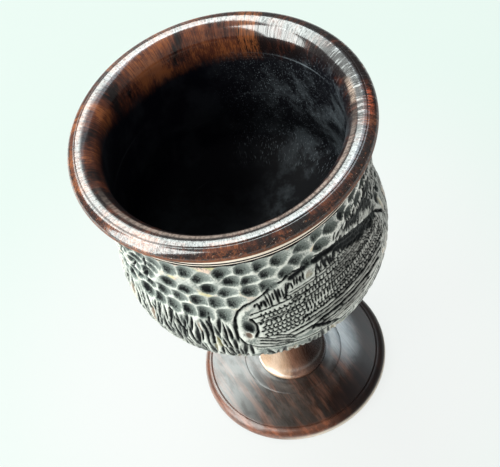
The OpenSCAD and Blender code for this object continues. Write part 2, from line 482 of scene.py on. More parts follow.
def run_tree(name, tree, values):
    """Feeds a tree on an empty holder, and returns what it makes as a new object."""
    holder = object_of(name + "_holder", bpy.data.meshes.new(name + "_holder"))
    modifier = holder.modifiers.new(tree.name, "NODES")
    modifier.node_group = tree
    for item in tree.interface.items_tree:
        if item.in_out == "INPUT" and item.name in values:
            modifier[item.identifier] = values[item.name]
    mesh = plain_mesh(holder, modifier)
    discard(holder)
    while mesh.materials and mesh.materials[0] is None:
        mesh.materials.pop(index=0)
    mesh.name = name
    return object_of(name, mesh)


def turned_piece(name, profile, columns, material):
    """Spins a closed profile, from the axis to the axis, into a piece."""
    line = line_of(name + "_profile", [(r, 0, z) for r, z in apart(spaced(profile, PROFILE_STEP))])
    piece = run_tree(name, turning_tree(), {"Profile": line, "Columns": columns, "Material": material})
    discard(line)
    piece.data.shade_smooth()
    piece.data.set_sharp_from_angle(angle=SHARP_EDGE)
    return piece


def bow(cx, cz, rx, rz, start, end, steps):
    """Points along a stretch of an ellipse."""
    turns = [math.radians(start + (end - start) * i / steps) for i in range(steps + 1)]
    return [(cx + rx * math.cos(t), cz + rz * math.sin(t)) for t in turns]


def ease(r0, z0, r1, z1, steps):
    """Points along an S-curve that is upright at both ends."""
    shares = [i / steps for i in range(steps + 1)]
    return [(r0 + (r1 - r0) * (1 - math.cos(math.pi * t)) / 2, z0 + (z1 - z0) * t) for t in shares]


def spaced(points, step):
    """The same line with points at an even spacing, its corners kept."""
    result = [points[0]]
    for (r0, z0), (r1, z1) in zip(points, points[1:]):
        span = math.hypot(r1 - r0, z1 - z0)
        if span > TINY:
            pieces = max(1, round(span / step))
            for i in range(1, pieces + 1):
                result.append((r0 + (r1 - r0) * i / pieces, z0 + (z1 - z0) * i / pieces))
    return result


def apart(points):
    """The same points without any that lie on the one before."""
    result = [points[0]]
    for point in points[1:]:
        if math.dist(point, result[-1]) > SAME_PLACE:
            result.append(point)
    return result


def lip_line():
    """Height of the lip's widest line above the table."""
    return BOWL_HIGH.z - bpy.context.scene.goblet_turning.crest_rise


def drawn_bowl(t):
    """The bowl's closed outline in its own frame: before the carved stretch, that stretch, and after it."""
    lip_r = BOWL_HIGH.x
    bowl_h = lip_line() - BOWL_LOW.z
    socket_r = t.tenon_r + t.glue_gap
    cove_z = bowl_h - t.cove_h
    # two beads hang under a plain stretch of the collar
    groove_z = cove_z - t.bead_h * (1.3 + 2)
    turn_r = (lip_r - t.collar_r) * 0.3
    turn_z = t.cove_h * 0.34
    shoulder_h = t.crest_rise * 2
    throat_z = bowl_h - t.cove_h * 0.95
    inner_waist_r = t.waist_r - t.wall * 0.85
    inner_belly_r = t.belly_r - t.wall
    before = [(0, t.tenon_h + t.end_gap), (socket_r, t.tenon_h + t.end_gap), (socket_r, 0)]
    carved = bow(t.seat_r, t.belly_z, t.belly_r - t.seat_r, t.belly_z, -90, 0, 90)
    carved += ease(t.belly_r, t.belly_z, t.waist_r, t.waist_z, 60)[1:]
    carved += ease(t.waist_r, t.waist_z, t.collar_r, groove_z - t.groove_h, 60)[1:]
    after = bow(t.collar_r, groove_z - t.groove_h / 2, -t.groove_deep, t.groove_h / 2, -90, 90, 10)
    bead = t.bead_h / 2
    for middle in (groove_z + bead, groove_z + 3 * bead):
        after += bow(t.collar_r, middle, t.bead_proud, bead, -90, 90, 10)
    after += bow(lip_r - turn_r, cove_z, -(lip_r - turn_r - t.collar_r), t.cove_h - turn_z, 0, 90, 14)
    after += bow(lip_r - turn_r, bowl_h, turn_r, turn_z, -90, 0, 8)
    crown = bow(t.crest_r, bowl_h, lip_r - t.crest_r, t.crest_rise, 0, 90, 56)
    after += [(r, z - t.nick_deep * max(0, 1 - abs(r - t.nick_r) / t.nick_w)) for r, z in crown]
    after += bow(t.crest_r, bowl_h + t.crest_rise - shoulder_h, t.mouth_r - t.crest_r, shoulder_h, 90, 0, 14)
    after += ease(t.mouth_r, throat_z, inner_waist_r, t.waist_z, 12)
    after += ease(inner_waist_r, t.waist_z, inner_belly_r, t.belly_z, 10)
    after += bow(0, t.belly_z, inner_belly_r, t.belly_z - t.floor_t, 0, -90, 20)
    return before, spaced(carved, t.cell), after


def bowl_rows(t):
    """Every point of the bowl's outline, with the path from the belly, the way out and what is carved."""
    before, carved, after = drawn_bowl(t)
    points = [(r, z + BOWL_LOW.z) for r, z in apart(before + carved + after)]
    first, end = len(before), len(before) + len(carved)
    flags = [float(first <= index < end) for index in range(len(points))]
    path = [0.0]
    for here, there in zip(points, points[1:]):
        path.append(path[-1] + math.dist(here, there))
    belly = min(range(first, end), key=lambda i: abs(points[i][1] - t.belly_z - BOWL_LOW.z))
    path = [value - path[belly] for value in path]
    outward = []
    for index in range(len(points)):
        r0, z0 = points[max(index - 1, 0)]
        r1, z1 = points[min(index + 1, len(points) - 1)]
        span = math.hypot(r1 - r0, z1 - z0) or 1
        outward.append(((z1 - z0) / span, 0, -(r1 - r0) / span))
    return points, path, outward, flags


def stem_profile(t):
    foot_z = FOOT_HIGH.z
    seat_z = BOWL_LOW.z
    points = [(0, STEM_LOW.z), (t.tenon_r, STEM_LOW.z), (t.tenon_r, foot_z)]
    flare_z = foot_z + t.stem_step + t.flare_h
    points += [(t.stem_base_r, foot_z)]
    points += bow(t.stem_base_r, flare_z, t.stem_slim_r - t.stem_base_r, t.flare_h, -90, 0, 24)
    points += ease(t.stem_slim_r, flare_z, t.seat_r, seat_z, 40)[1:]
    points += [(t.tenon_r, seat_z), (t.tenon_r, STEM_HIGH.z), (0, STEM_HIGH.z)]
    return points


def foot_profile(t):
    foot_r = FOOT_HIGH.x
    rim_r = foot_r - t.rim_w
    line_z = t.rim_h * 0.3
    under_r = foot_r - t.rim_w * 0.4
    hub_z = FOOT_HIGH.z
    pad_z = t.rim_h + (hub_z - t.rim_h) * (foot_r - t.pad_r) / (foot_r - t.stem_base_r)
    hole_r = t.tenon_r + t.glue_gap
    points = [(hole_r, hub_z), (hole_r, t.recess), (under_r - t.land_w, t.recess), (under_r - t.land_w, 0)]
    points += bow(under_r, line_z, foot_r - under_r, line_z, -90, 0, 8)
    points += bow(rim_r, line_z, t.rim_w, t.rim_h - line_z, 0, 84, 16)
    points += [(rim_r, t.rim_h - t.crease), (rim_r - t.crease, t.rim_h)]
    soft = 9 * t.pad_step
    points += bow(t.pad_r + t.pad_step - soft, pad_z - t.pad_step, soft, t.pad_step, 0, 90, 8)
    points += [(t.stem_base_r, hub_z), (hole_r, hub_z)]
    return points


# The drawing that the carver follows. Angles are degrees from the front, to the right; heights are
# millimetres above the table, and widths, lengths and depths are millimetres too.
FRONT_HOLLOWS = (  # height, and the angles of its hollows
    (121.6, (45.5,)),
    (121.0, (23.4, 37.5)),
    (119.6, (-59, -52, -45, -38.2, -30.7, -15.8, -8.1, -1.4, 6, 16.4, 30, 54.5)),
    (117.2, (-25.6, 41.5, 49)),
    (115.6, (-56, -49, -13.2, 0.6, 13.4, 24.5)),
    (114.2, (-7.3,)),
    (112.6, (7.8, 17.2)),
    (111.4, (-60, -52.5, -41.2, -23.4)),
    (109.2, (-34.2, -17.6, -7.5, -0.8)),
    (104.1, (-62, -55, -47.7, -40, -30.5, -23.3, -15.8)),
    (98.3, (-58.5, -52, -44.8, -37.3, -29.8, -21.7)),
)
EVEN_ROWS = (5, 120.4, 5.4)  # rows of hollows where no figure is: how many, the top one, the way down
EVEN_PITCH = 7.3
STROKE_ROWS = (  # middle height, half length, pitch in degrees, share of the full depth
    (91.5, 5.4, 2.1, 1.0), (86.5, 6.0, 2.3, 1.0), (80.5, 6.2, 2.1, 1.0), (74, 6.0, 2.3, 0.7),
    (67.5, 5.4, 3.0, 0.5))
SLITS = (  # half width, and the line of a single deep cut at the left of the figure
    (0.85, ((-51, 118.5), (-53, 113.5), (-55.5, 107.5))), (0.5, ((-66, 116.5), (-70, 110))),
    (0.5, ((-61, 110.5), (-66, 103.5))), (0.5, ((-48, 94.5), (-45, 90), (-41.5, 84.5))),
    (0.7, ((-30, 97), (-29.6, 90), (-30, 84))))
FIGURE_TOP = (
    (-19, 92), (-18.6, 96), (-16.5, 99), (-13.5, 101), (-9, 103), (-4, 105.4), (1, 107.6), (6, 109.4),
    (13, 110.9), (20, 111.5), (27, 111.2), (34, 109.8), (41, 107.3), (48, 104.6), (56, 100.8), (63, 96.5),
    (68, 92))
FIGURE_BOTTOM = (
    (-19, 92), (-18.8, 88), (-17, 84.8), (-12, 82.4), (-4, 81), (8, 80), (24, 79.4), (38, 80), (50, 82.5),
    (60, 86.5), (68, 92))
# below the figure's top, first, last, half width
DARK_BAND = ((1.2, 8, 60, 1.3), (3.2, 29, 58, 1.5), (5.0, 35, 50, 1.1))
PIT_EDGE = ((-12.2, 95), (-10.6, 92.5), (-10.8, 89.5), (-12, 88))
RIBS = ((-9, 5, 99.2, 1.4), (5, 13.5, 103.4, 1.3), (19, 46, 103.0, 1.3))  # first, last, lower end, pitch
SINGLE_CUTS = (  # angle, height, half width, half length, depth, lean, rawness
    (-13.4, 92.4, 1.8, 3.0, 1.0, -12, -0.7),  # the pit in the rounded end
    (-14.6, 89.0, 0.9, 1.6, 0.85, -20, 0.5),  # raw wood at its bottom
    (15, 106.4, 0.8, 1.6, 0.15, 30, 0.5), (17.5, 105.4, 0.7, 1.5, 0.15, 100, 0.4),  # shallow chips
    (-2.8, 102.4, 0.55, 2.0, 0.15, 4, 0.7),
    *((angle, height, 2.4, 2.6, 0.3, 20, -1) for angle, height in (  # the ground above the falling end
        (40, 113), (45, 111), (50, 112.5), (54, 108.5), (59, 111), (60, 105), (64, 108), (66, 101),
        (56, 115))))
LONG_LINES = (  # height at the middle, first, last, half width
    (103.9, 5, 40, 0.3), (102.6, 4, 45, 0.4), (100.3, 7, 48, 0.5), (98.1, 11, 50, 0.36), (96.2, 12, 40, 0.28),
    (92.6, 14, 52, 0.28), (89.7, 10, 57, 0.6), (88.3, 2, 54, 0.55), (87.1, 14, 50, 0.36), (86.2, 2, 50, 0.55),
    (84.8, 11, 42, 0.6), (83.5, 15, 42, 0.4), (82.4, 21, 36, 0.42), (101.4, 30, 56, 0.4),
    (99.2, 28, 58, 0.36), (97.1, 26, 60, 0.36), (93.6, 26, 60, 0.36), (91.2, 8, 60, 0.4))
LOWEST_LINE = ((10.5, 84.8), (15, 82.6), (21, 80.3))
FANS = (  # fine lines that spread from the rounded end
    ((-11, 97.4), (-2, 98.8), (9, 99.8)), ((-12, 95.4), (0, 96.6), (10, 98)),
    ((-10, 93.4), (0, 94.2), (11, 95.8)))
WOVEN_ROWS = (  # height, first, last, pitch, half width, half length, lean
    (101.5, 6, 64, 1.7, 0.36, 0.9, 12), (99.2, 12, 64, 1.7, 0.38, 0.9, 16),
    (97.2, 11, 64, 1.6, 0.36, 0.9, 18), (95.4, 11, 64, 1.45, 0.34, 1.3, 10),
    (93.5, 11, 64, 1.6, 0.36, 0.9, 18), (91.6, 9, 64, 1.5, 0.36, 1.0, 14),
    *((height, 24, 62, 1.9, 0.34, 0.85, 84) for height in (98.1, 96.3, 94.5, 92.6, 90.6)))
SIDES = (0, 180)
LAPS = (-360, 0, 360)
DRAWN_TO = 200  # the drawing runs this many degrees to each side of the front, past its seam
SEED = 7


def between(points, angle):
    """Height of a drawn line at an angle, or None past its ends."""
    for (a0, z0), (a1, z1) in zip(points, points[1:]):
        if a0 <= angle <= a1 and a1 > a0:
            return z0 + (z1 - z0) * (angle - a0) / (a1 - a0)
    return None


def drop(angle):
    """How far the figure's lines fall below their highest point."""
    return 2.2 * ((angle - 33) / 30) ** 2


class Drawing:
    """The marks that cover the bowl, each one cut of a gouge."""

    def __init__(self, t, points, path, flags):
        self.drawing_r = t.drawing_r
        self.heights = [(z, way) for (r, z), way, flag in zip(points, path, flags) if flag]
        self.places = []
        self.turned = []
        self.reach = []
        self.raw = []
        self.vary = random.Random(SEED).uniform
        self.side = 0

    def up(self, height):
        """Length along the bowl's side from its belly to a height above the table, in mm."""
        z = height * MM
        for (z0, way0), (z1, way1) in zip(self.heights, self.heights[1:]):
            if z0 <= z <= z1:
                share = (z - z0) / max(z1 - z0, TINY)
                return (way0 + (way1 - way0) * share) / MM
        return self.heights[0 if z < self.heights[0][0] else -1][1] / MM

    def mark(self, angle, way, wide, long, deep, lean=0.0, raw=0.0):
        """One cut: its place, half its width and length, its depth and its lean to the right."""
        for lap in LAPS:
            full = angle + self.side + lap
            if abs(full) < DRAWN_TO:
                self.places.append((math.radians(full) * self.drawing_r, way * MM, 0))
                self.turned.append((0, 0, -math.radians(lean)))
                self.reach.append((wide * MM, long * MM, deep * MM))
                self.raw.append(raw)

    def line(self, points, wide, deep, raw=0.0, step=1.3):
        """A cut along a drawn line, as a row of overlapping cuts."""
        flat = [(math.radians(a) * self.drawing_r / MM, self.up(z)) for a, z in points]
        for (u0, v0), (u1, v1) in zip(flat, flat[1:]):
            pieces = max(1, round(math.hypot(u1 - u0, v1 - v0) / step))
            lean = math.degrees(math.atan2(u1 - u0, v1 - v0))
            for i in range(pieces):
                share = (i + 0.5) / pieces
                angle = math.degrees((u0 + (u1 - u0) * share) / (self.drawing_r / MM))
                size = self.vary(0.85, 1.15)
                self.mark(angle, v0 + (v1 - v0) * share, wide * size, step * 1.25, deep * size, lean, raw)

    def steps(self, start, end, pitch, low, high):
        """Angles at a varied pitch. The way to the next is drawn by lot after the cuts at the last."""
        while start < end:
            yield start
            start += pitch * self.vary(low, high)

    def inside_figure(self, angle, height, margin=0.0):
        """Whether a place lies in one of the two figures, or within a margin above or below it."""
        for side in SIDES:
            local = (angle + self.side - side + 180) % 360 - 180
            top = between(FIGURE_TOP, local)
            bottom = between(FIGURE_BOTTOM, local)
            if top is not None and bottom is not None and bottom - margin < height < top + margin:
                return True
        return False

    def hollow(self, angle, way, wide, long, deep, spread, shallow, turn):
        """A broad cut. Spread bounds what its half width and length are multiplied by."""
        vary = self.vary
        self.mark(angle, way, wide * vary(*spread), long * vary(*spread), deep * vary(shallow, 1.1),
                  38 + vary(-turn, turn))

    def hollows(self):
        vary = self.vary
        for height, angles in FRONT_HOLLOWS:
            for angle in angles:
                self.hollow(angle, self.up(height) + vary(-0.2, 0.2), 3.4, 3.9, 1.2, (0.94, 1.08), 0.85, 12)
        rows, highest, down = EVEN_ROWS
        for start, end in ((-91, -62), (62, 88)):
            for row in range(rows):
                angle = start + EVEN_PITCH / 2 * (row % 2)
                while angle < end:
                    here = angle + vary(-0.8, 0.8)
                    way = self.up(highest - down * row + vary(-0.5, 0.5))
                    self.hollow(here, way, 3.0, 3.5, 1.15, (0.9, 1.1), 0.8, 14)
                    angle += EVEN_PITCH

    def strokes(self):
        """Long upright cuts round the lower half of the bowl, in rows that run into each other."""
        vary = self.vary
        for middle, half, pitch, share in STROKE_ROWS:
            for angle in self.steps(-180.0, 180, pitch, 0.75, 1.2):
                height = middle + vary(-2, 2)
                here = angle + vary(-0.5, 0.5)
                long = half * vary(0.6, 1.2)
                if not self.inside_figure(here, height, 0.55 * long):
                    raw = vary(0.4, 0.8) if vary(0, 1) > 0.88 else vary(-0.9, -0.1)
                    wide, deep = vary(0.5, 0.95), vary(0.75, 1.3) * share
                    self.mark(here, self.up(height), wide, long, deep, vary(-10, 12), raw)

    def woven_row(self, height, first, last, pitch, wide, long, lean):
        """Short cuts side by side along one of the figure's lines."""
        vary = self.vary
        for angle in self.steps(first, last, pitch, 0.85, 1.15):
            here = height - drop(angle) + vary(-0.15, 0.15)
            if self.inside_figure(angle, here + 1.2):
                self.mark(angle, self.up(here), wide * vary(0.85, 1.15), long * vary(0.8, 1.2),
                          vary(0.6, 0.95), lean + vary(-9, 9), -0.9)

    def figure(self):
        """A woven leaf: outline, dark top band, ribs, long lines and woven rows."""
        vary = self.vary
        self.line(FIGURE_TOP, 0.62, 0.95, -1)
        self.line(FIGURE_BOTTOM, 0.5, 0.6, -0.6)
        for below, first, last, wide in DARK_BAND:
            band = [(a, between(FIGURE_TOP, a) - below + vary(-0.3, 0.3)) for a in range(first, last, 3)]
            self.line(band, wide, 0.9, -1)
        self.line(PIT_EDGE, 0.55, 1.15, -1)
        for angle, height, *cut in SINGLE_CUTS:
            self.mark(angle, self.up(height), *cut)
        # upright ribs under the band and over the rounded end
        for first, last, low, pitch in RIBS:
            for angle in self.steps(first, last, pitch, 0.88, 1.12):
                top = between(FIGURE_TOP, angle) - (1.2 if angle < 8 else 2.2)
                if top - low > 1:
                    self.mark(angle, self.up((top + low) / 2 + vary(-1.0, 1.0)), vary(0.28, 0.55),
                              (top - low) / 2 * vary(0.75, 1.4), vary(0.75, 1.0), vary(-9, 14), -1)
        for height, first, last, wide in LONG_LINES:
            self.line([(a, height - drop(a)) for a in range(first, last + 1, 3)], wide, 0.95, -1)
        self.line(LOWEST_LINE, 0.85, 0.9, -1)
        for fan in FANS:
            self.line(fan, 0.3, 0.75, -0.8)
        for woven in WOVEN_ROWS:
            self.woven_row(*woven)
        self.hatching()
        self.ground()

    def hatching(self):
        """Brick-like cuts beside the rounded end, rising to the right, and slanted ones under it."""
        vary = self.vary
        for row in range(7):
            for angle in self.steps(-8.5 + 0.9 * (row % 2), 10, 1.95, 0.85, 1.15):
                here = 87.6 + 1.5 * row + 0.08 * angle
                if here < between(FIGURE_TOP, angle) - 3.4:
                    self.mark(angle, self.up(here), vary(0.3, 0.4), vary(0.6, 0.9), vary(0.55, 0.9),
                              76 + vary(-10, 10), -0.9)
                    self.mark(angle + 0.9, self.up(here + 0.75), 0.32, 0.6, vary(0.5, 0.9),
                              vary(-10, 14), -0.9)
        for row in range(5):
            for step in range(2):
                angle = -10.5 + 6.4 * step + 0.5 * (row % 2)
                here = 87.2 - 1.45 * row - 0.3 * step
                if here - 2 > between(FIGURE_BOTTOM, angle + 2) - 0.6:
                    drawn = ((angle, here), (angle + 3, here - 0.9), (angle + 5.4, here - 2))
                    self.line(drawn, vary(0.34, 0.5), 0.8, -1)

    def ground(self):
        """Fine slanted strokes above the figure's falling end."""
        vary = self.vary
        for row in range(8):
            for step in range(26):
                angle = 30 + 1.7 * step + 0.8 * (row % 2)
                height = 118.4 - 2.3 * row
                top = between(FIGURE_TOP, min(angle, 67.9))
                if height > top + 0.8 and (height < 116 or angle > 38):
                    self.mark(angle, self.up(height + vary(-0.5, 0.5)), vary(0.35, 0.5), vary(1.4, 2.2),
                              vary(0.7, 1.1), 24 + vary(-16, 16), -1)

    def draw(self):
        for side in SIDES:
            self.side = side
            self.hollows()
            self.figure()
            for wide, drawn in SLITS:
                self.line(drawn, wide, 1.2, -1)
        self.side = 0
        self.strokes()


class Paint(Bench):
    """The shader of one kind of wood. Its places are in millimetres, and its colour grows in layers."""

    def __init__(self, name, constants, turn=0.0):
        self.material = bpy.data.materials.new(name)
        self.material.use_nodes = True
        super().__init__(self.material.node_tree)
        self.shader = self.tree.nodes["Principled BSDF"].inputs
        for label, value in constants.items():
            self.feed(self.shader[label], value)
        place = self.node("ShaderNodeTexCoord").out("Object")
        self.place = self.node("ShaderNodeVectorMath", {0: place, "Scale": 1 / MM}, operation="SCALE").out()
        self.turn = turn
        x, y, self.z = self.parts(self.place)
        self.radius = (x * x + y * y) ** 0.5
        self.east, self.north = x / self.radius, y / self.radius
        self.colour = None

    def held(self, name):
        """What the points of the mesh hold under a name."""
        return self.node("ShaderNodeAttribute", attribute_name=name).out("Fac")

    def layer(self, share, colour):
        """Lays a share of a colour over what is there."""
        self.colour = self.mix(share, self.colour, colour)

    def grain(self, scale, detail, roughness):
        """Noise over the place times a scale for each axis, after the wood's turn round the upright axis."""
        turned = self.node("ShaderNodeMapping", {"Vector": self.place, "Rotation": (0, 0, self.turn)}).out()
        scaled = self.node("ShaderNodeVectorMath", {0: turned, 1: scale}, operation="MULTIPLY").out()
        return self.noise(scaled, detail, roughness)

    def streaks(self, across, along, detail, roughness, distortion=0.0):
        """Noise over the direction from the axis, times a scale, and over another measure."""
        place = self.join(self.east * across, self.north * across, along)
        return self.noise(place, detail, roughness, distortion)

    def done(self, roughness, height, strength, distance, coat=None):
        """Feeds the shader, its bumps given in millimetres, and hands over the material."""
        bumps = self.node("ShaderNodeBump", {
            "Height": height, "Strength": strength, "Distance": distance * MM}).out()
        wires = {"Base Color": self.colour, "Roughness": roughness, "Normal": bumps}
        if coat:
            wires["Coat Weight"] = coat
        for label, wire in wires.items():
            self.feed(self.shader[label], wire)
        return self.material


def polished_bowl_wood(finish):
    """The lip, the beads and the inside: red-brown heartwood under a dark stain, waxed, with painted shade
    deep inside and in the grooves by the beads, and painted highlights and sheen.
    """
    paint = Paint("polished_bowl_wood", {
        "Coat Roughness": 0.13, "Coat IOR": 2.2, "IOR": 1.22, "Anisotropic": 0.7,
        "Anisotropic Rotation": 0.25})
    radius, east, north, z = paint.radius, paint.east, paint.north, paint.z
    outside = radius.rise(38.05, 38.25)
    inside = 1 - outside
    # fibres run up the block, so they cross the lip as narrow streaks
    along = z - radius
    fibres = paint.streaks(55, along * 0.22, 4, 0.65)
    hairs = paint.streaks(150, along * 0.52, 3, 0.7)
    patches = paint.streaks(5, z * 0.06 + radius * 0.09, 4, 0.6, 0.4)
    # the block is redder at the back inside and at the left outside, and nearly black at the right
    warm = inside * (north - east * 0.2 - 0.4) + outside * (0.25 - east * 0.75 - north * 0.1)
    warm = warm - 1.2 * (east * 0.8 + north * 0.6).rise(0.7, 0.95)
    heart = (patches * 0.6 + fibres * 0.25 + hairs * 0.15 + warm * 0.06).rise(0.43, 0.56)
    paint.colour = paint.mix(heart, finish.stain_and_shade, finish.heart)
    fleck = (patches * 0.5 + hairs * 0.35 + fibres * 0.15 + warm * 0.05).rise(0.53, 0.62)
    streaky = hairs * 0.6 + fibres * 0.4

    def beside(degrees, low, high):
        """1 near a direction from the axis, counted from the front to the right."""
        turn = math.radians(degrees)
        return (east * math.sin(turn) - north * math.cos(turn)).rise(low, high)

    # an orange patch at the lip's back
    patch = beside(153, 0.994, 0.9985) * streaky.rise(0.42, 0.56)
    paint.layer(fleck.math("MAXIMUM", patch) * 0.85, finish.fleck)
    # a red one at its right, and a pale one inside that
    red = beside(77, 0.990, 0.9995) * radius.rise(39.3, 39.9) * radius.fall(40.4, 41.4)
    paint.layer(red * streaky.rise(0.44, 0.58) * 0.9, finish.knot)
    pale = beside(85, 0.988, 0.9995) * radius.rise(34.8, 35.6) * radius.fall(36.0, 37.2)
    paint.layer(pale * hairs.rise(0.36, 0.62) * 0.6, finish.bare)
    # the black stain inside, deepened by painted shade below the lip, begins lower at the back
    edge = 132 - north.rise(0.3, 0.85) * 7 - fibres * 4
    deep = (inside * (z - edge).fall(-4, 3) * z.rise(64, 66)).math("MINIMUM", 1)
    paint.layer(deep, finish.inside)
    # the lip's inner edge is worn pale at the front
    mottle = paint.streaks(60, along * 1.5, 4, 0.75)
    worn = radius.rise(35.1, 35.6) * radius.fall(36.2, 37.0) * (0.35 + 0.65 * mottle.rise(0.42, 0.56))
    paint.layer(worn * north.fall(-0.85, -0.1) * (0.6 + 0.6 * (hairs - 0.5)), finish.worn)
    # the beads and the lip's lowest edge are rubbed pale, with painted shade as dark lines in the grooves
    # between and below the beads
    beads = z.fall(129.5, 129.9) * outside
    paint.layer(beads, finish.bead)
    gap = (z - 124.7) / 0.32
    paint.layer(beads * (gap * gap).fall(0.5, 1.2).math("MAXIMUM", z.fall(123.85, 124.05)), finish.stain_and_shade)
    # polish has dried in the pores and in the turning lines inside; at the right, where most of it is, it
    # also carries a painted sheen
    pores = paint.streaks(105, z * 1.3, 2, 0.6).rise(0.60, 0.68)
    pores = pores * radius.rise(28, 32) * (east + north * 0.3).rise(0.25, 0.8)
    haze = paint.grain((0.09, 0.09, 0.06), 4, 0.7).rise(0.45, 0.65)
    lines = paint.streaks(0.5, z * 0.9, 2, 0.6).rise(0.68, 0.76)
    right = east.rise(0.2, 0.8)
    dust_and_painted_sheen = pores * 0.45 + haze * (0.04 + 0.4 * right) * hairs + lines * (0.06 + 0.3 * right)
    paint.layer(deep * dust_and_painted_sheen, finish.dust_and_sheen)
    # the outer slope is mottled and redder at its foot, with painted highlights as bright specks at the front
    outer = radius.rise(40.4, 41.0) * z.rise(129.6, 129.9)
    blotch = paint.streaks(24, along * 0.56, 3, 0.6)
    paint.layer(outer * blotch.fall(0.32, 0.44) * 0.5, finish.fleck)
    paint.layer(outer * z.fall(130.4, 131.4) * 0.5, finish.fleck)
    outer = outer * z.rise(129.8, 131.2)
    paint.layer(outer * blotch.rise(0.50, 0.60) * 0.8, finish.stain_and_shade)
    paint.layer(outer * mottle.rise(0.46, 0.58) * 0.75, finish.stain_and_shade)
    # painted highlights: bright specks on the outer slope at the front
    paint.layer(outer * north.fall(-0.9, 0.0) * mottle.fall(0.30, 0.37) * 0.9, finish.bead)
    # the fine line beside the crest
    nick = (radius - 39.5) / 0.3
    line = (nick * nick).fall(0.3, 1) * z.rise(131, 131.4)
    paint.layer(line * (0.6 - 0.5 * east.rise(0.1, 0.6)), finish.stain_and_shade)
    # the inner slope at the left was left without polish, and the right of the lip is rubbed in streaks
    dull = east.fall(-0.9, -0.5) * radius.fall(37.5, 38.2)
    dull = dull.math("MAXIMUM", east.rise(0.80, 0.97) * fibres.fall(0.5, 0.6))
    gloss = (0.55 + 0.45 * hairs.rise(0.34, 0.6)) * (0.45 + 0.55 * mottle.rise(0.38, 0.50))
    gloss = gloss * (1 - deep).math("MAXIMUM", 0) * (1 - 0.6 * line) * (1 - 0.8 * dull)
    # no polish reaches under the lip
    gloss = gloss * z.rise(130.4, 131.4).math("MAXIMUM", inside)
    tool_marks = paint.noise(paint.join(radius * 2.5, (east + north) * 4, z * 2.5), 3, 0.7)
    height = tool_marks * 0.5 + fibres * 0.25 + hairs * 0.25 - pores * 0.4 * inside
    return paint.done(0.2 + 0.22 * hairs + 0.2 * deep, height, 0.45, 0.1, gloss)


def carved_bowl_wood(finish):
    """The carving: dark stain in the cuts, pale where the crests are rubbed bare, with painted shade on the
    cuts' sides that face right and up, at the right and underneath, and painted highlights on the crests at
    the right.
    """
    paint = Paint("carved_bowl_wood", {"IOR": 1.15})
    east, z = paint.east, paint.z
    depth, crest = paint.held("depth") / MM, paint.held("crest") / MM
    raw, lee = paint.held("raw"), paint.held("lee")
    speck = paint.grain((2.4, 2.4, 1.6), 4, 0.75)
    # painted shade darkens the sides of the cuts that face right and up
    rubbed = 0.46 + crest * 3.2 - depth * 0.05 - lee * 0.42 + (speck - 0.5) * 1.1
    stained = (1 + raw * 0.98).within(0, 1)
    # painted shade: the cuts at the right are darker
    right_shade = 1 - 0.8 * east.rise(0.2, 0.9)
    dark = paint.mix(rubbed.rise(0.0, 0.42) * stained * right_shade, finish.cut, finish.patina)
    # painted shade: the crests are darker underneath, and dimmer at the far right edge
    # painted highlight: towards the right the crests take the palest colour
    crests = paint.mix(east.rise(0.1, 0.8), finish.rubbed, finish.highlit_crests)
    pale = rubbed.rise(0.42, 0.86) * stained * (0.25 + 0.75 * z.rise(66, 80))
    paint.colour = paint.mix(pale * (1 - 0.5 * east.rise(0.75, 1.0)), dark, crests)
    # raw wood on flat spots at the upper left and near the top, and in the cuts that went deepest
    cloud = paint.grain((0.1, 0.1, 0.08), 3, 0.6)
    flat = depth.fall(0.02, 0.2) * rubbed.rise(0.34, 0.54) * stained
    upper = z.rise(98, 104) * east.fall(-0.2, -0.1)
    upper = upper.math("MAXIMUM", z.rise(111, 113) * east.fall(0.3, 0.45))
    bare = cloud.rise(0.47, 0.58) * flat * upper * 0.9 + raw.math("MAXIMUM", 0) * 0.7
    tone = paint.grain((0.25, 0.25, 0.25), 2, 0.5).rise(0.52, 0.6)
    paint.layer(bare.math("MINIMUM", 1), paint.mix(tone, finish.bare, finish.straw))
    # painted shade: a dark line in the groove under the beads
    paint.layer(z.rise(122.5, 122.7) * 0.95, finish.cut)
    return paint.done(0.36 + 0.2 * speck, speck, 0.3, 0.1)


def stem_wood(finish):
    """The stem: mid brown, its grain upright, with a painted highlight at the front left and painted shade at
    the right.
    """
    paint = Paint("turned_stem_wood", {"Coat Roughness": 0.3, "Coat IOR": 2.1, "IOR": 1.5})
    grain = paint.grain((0.7, 0.7, 0.04), 4, 0.6)
    pores = paint.grain((3.0, 3.0, 0.2), 2, 0.6)
    paint.colour = paint.mix(grain.rise(0.35, 0.65), finish.stem_dark, finish.stem_light)
    # a painted highlight faces the front and the left
    painted_highlight = (grain * 0.3 - paint.east * 0.87 - paint.north * 0.5).rise(0.75, 1.15)
    paint.layer(painted_highlight * 0.8, finish.stem_highlight)
    # painted shade darkens the right of the stem, which also takes less polish
    heart = (paint.east + grain * 0.6).rise(0.1, 0.9)
    paint.layer(heart * 0.92, finish.stain_and_shade)
    return paint.done(0.2 + 0.15 * pores, grain * 0.5 + pores * 0.5, 0.2, 0.1, 1 - heart * 0.85)


